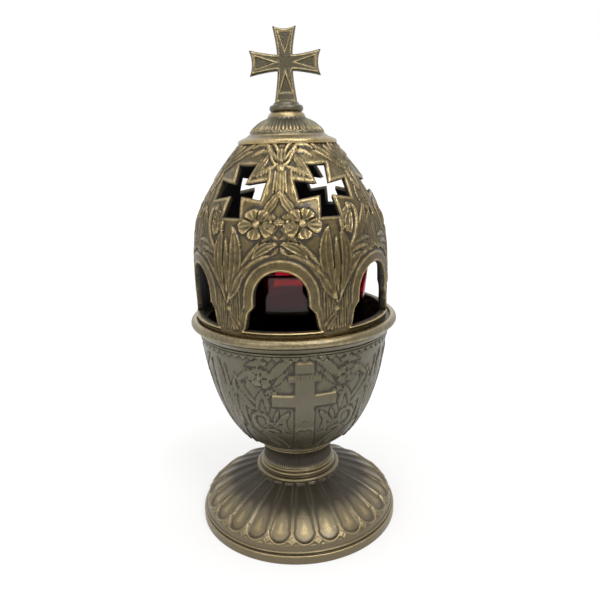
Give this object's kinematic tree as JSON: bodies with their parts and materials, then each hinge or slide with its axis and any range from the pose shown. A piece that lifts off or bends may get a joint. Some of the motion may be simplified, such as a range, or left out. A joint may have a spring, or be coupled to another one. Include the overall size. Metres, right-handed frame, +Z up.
{
  "type": "vigil lamp",
  "caption": "Standing vigil lamp: cast bronze foot, neck and bowl, ruby glass with a floating wick, and a pierced lift-off dome topped by a cross.",
  "frame": {"origin": "centre of the foot's underside, on the surface that the lamp stands on", "axes": "+Z up along the lamp's axis; the relief cross on the bowl faces -Y; +X is to the right of someone who faces that cross"},
  "size_m": [0.1058, 0.1058, 0.25],
  "materials": {
    "cast_bronze": "antique patina, brown in the recesses, worn olive gold on the relief",
    "bright_bronze": "antique patina, rubbed to warm gold on the raised ornament",
    "steel_hardware": "plain zinc plated, dulled",
    "brass_hardware": "plain turned brass, dulled",
    "ruby_glass": "deep ruby, polished",
    "cork": "natural cork",
    "tin": "thin tin plate, dull",
    "cotton": "waxed braided cotton"
  },
  "bodies": {
    "stand": {"foot": "cast_bronze", "neck_collar": "cast_bronze", "bowl": "cast_bronze", "bowl_washer": "brass_hardware", "tie_bolt": "steel_hardware", "foot_washer": "brass_hardware", "tie_nut": "steel_hardware"},
    "cover": {"dome": "bright_bronze", "dome_cap": "bright_bronze", "cross_finial": "cast_bronze", "finial_stud": "brass_hardware", "finial_washer": "brass_hardware", "finial_nut": "brass_hardware"},
    "glass": {"glass_cup": "ruby_glass"},
    "float": {"float_cork": "cork", "float_plate": "tin", "wick_tube": "tin", "wick": "cotton"}
  },
  "joints": [
    {"name": "dome_lift", "type": "slide", "parent": "stand", "child": "cover", "axis": [0, 0, 1], "range_m": [0, 0.06]},
    {"name": "glass_lift", "type": "slide", "parent": "stand", "child": "glass", "axis": [0, 0, 1], "range_m": [0, 0.024]},
    {"name": "float_rise", "type": "slide", "parent": "glass", "child": "float", "axis": [0, 0, 1], "range_m": [0, 0.055]}
  ]
}
